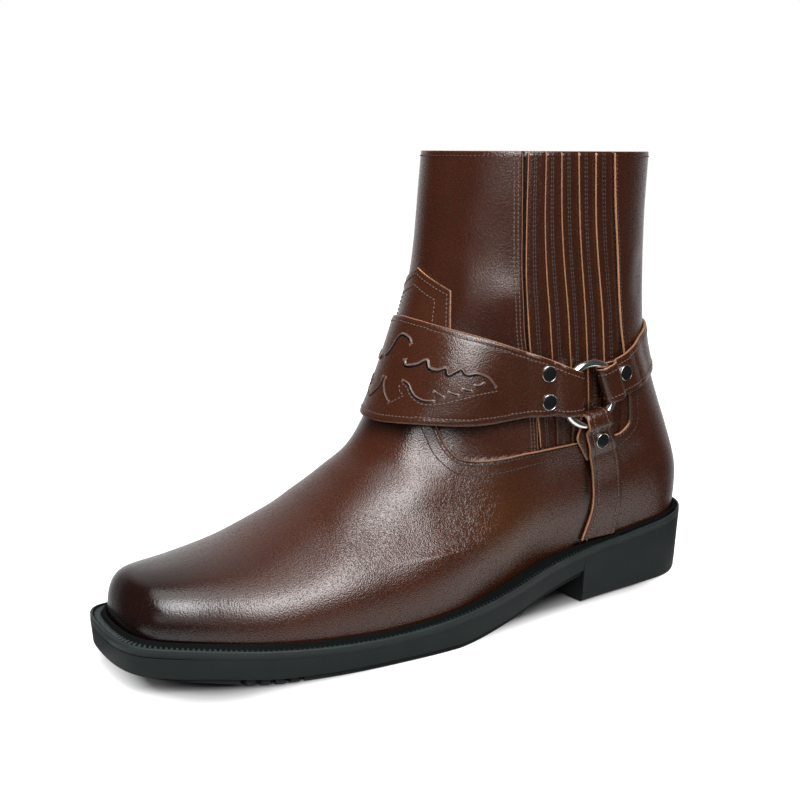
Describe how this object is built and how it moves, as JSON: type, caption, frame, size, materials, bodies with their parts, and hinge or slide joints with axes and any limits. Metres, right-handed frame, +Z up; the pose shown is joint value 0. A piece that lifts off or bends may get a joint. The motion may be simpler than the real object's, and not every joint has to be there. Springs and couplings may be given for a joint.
{
  "type": "harness boot",
  "caption": "Square-toed brown leather harness ankle boot with pleated side gores, a wide instep strap, ring and rivet harness and a black rubber heeled sole.",
  "frame": {"origin": "on the floor, under the middle of the boot's length and breadth", "axes": "+X from heel to toe, +Y to the wearer's left, which is the outer side of this left boot, +Z up"},
  "size_m": [0.302, 0.1099, 0.2091],
  "materials": {
    "upper_leather": "polished, fine pebbled grain, burnished dark at the toe",
    "strap_leather": "polished, with tan raw edges",
    "sole_rubber": "matte moulded",
    "insole_board": "matte lining",
    "ring_metal": "bright nickel plate",
    "rivet_metal": "gunmetal plate with a bright rim"
  },
  "bodies": {
    "root": {"outsole": "sole_rubber", "welt": "sole_rubber", "insole": "insole_board", "upper": "upper_leather", "front_tab": "upper_leather", "front_strap": "strap_leather", "back_strap": "strap_leather", "down_strap_lateral": "strap_leather", "down_strap_medial": "strap_leather", "ring_lateral": "ring_metal", "ring_medial": "ring_metal", "gore_pleat_lateral_1": "upper_leather", "gore_pleat_lateral_2": "upper_leather", "gore_pleat_lateral_3": "upper_leather", "gore_pleat_lateral_4": "upper_leather", "gore_pleat_lateral_5": "upper_leather", "gore_pleat_medial_1": "upper_leather", "gore_pleat_medial_2": "upper_leather", "gore_pleat_medial_3": "upper_leather", "gore_pleat_medial_4": "upper_leather", "gore_pleat_medial_5": "upper_leather", "rivet_front_top_lateral": "rivet_metal", "rivet_front_low_lateral": "rivet_metal", "rivet_back_lateral": "rivet_metal", "rivet_down_lateral": "rivet_metal", "rivet_front_top_medial": "rivet_metal", "rivet_front_low_medial": "rivet_metal", "rivet_back_medial": "rivet_metal", "rivet_down_medial": "rivet_metal"}
  },
  "joints": []
}
